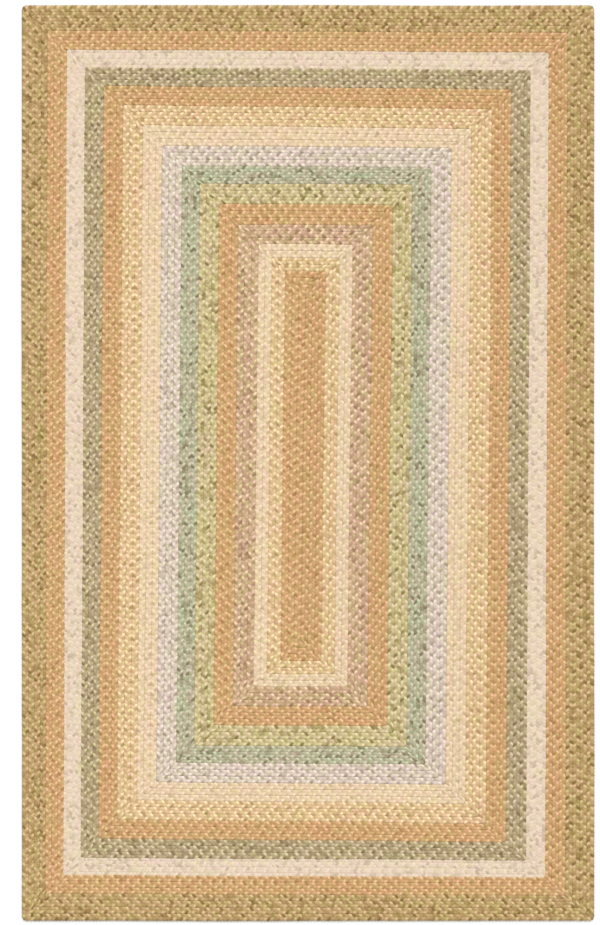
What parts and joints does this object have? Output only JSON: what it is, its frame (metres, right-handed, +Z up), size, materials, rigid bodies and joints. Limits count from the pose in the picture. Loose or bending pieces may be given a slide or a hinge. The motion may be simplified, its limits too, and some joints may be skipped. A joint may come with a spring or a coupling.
{
  "type": "braided rug",
  "caption": "Rectangular braided rug: three-strand braids in soft earth and pastel colours, wound flat in concentric bands round a narrow middle and laced side to side.",
  "frame": {"origin": "on the floor, under the middle of the rug's outline", "axes": "+Z up off the floor; +Y along the rug's long side, towards the end that is uppermost in the picture; +X across it, to the right"},
  "size_m": [1.5248, 2.439, 0.01],
  "materials": {
    "olive_yarn": "matt braided yarn",
    "tan_yarn": "matt braided yarn",
    "cream_yarn": "matt braided yarn",
    "sage_yarn": "matt braided yarn",
    "gold_yarn": "matt braided yarn",
    "ivory_yarn": "matt braided yarn",
    "lilac_yarn": "matt braided yarn",
    "aqua_yarn": "matt braided yarn",
    "lime_yarn": "matt braided yarn",
    "rose_yarn": "matt braided yarn"
  },
  "bodies": {
    "root": {"braid_01_olive": "olive_yarn", "braid_02_tan": "tan_yarn", "braid_03_cream": "cream_yarn", "braid_04_sage": "sage_yarn", "braid_05_tan": "tan_yarn", "braid_06_gold": "gold_yarn", "braid_07_ivory": "ivory_yarn", "braid_08_lilac": "lilac_yarn", "braid_09_aqua": "aqua_yarn", "braid_10_lime": "lime_yarn", "braid_11_tan": "tan_yarn", "braid_12_rose": "rose_yarn", "braid_13_ivory": "ivory_yarn", "braid_14_gold": "gold_yarn", "braid_15_tan": "tan_yarn"}
  },
  "joints": []
}
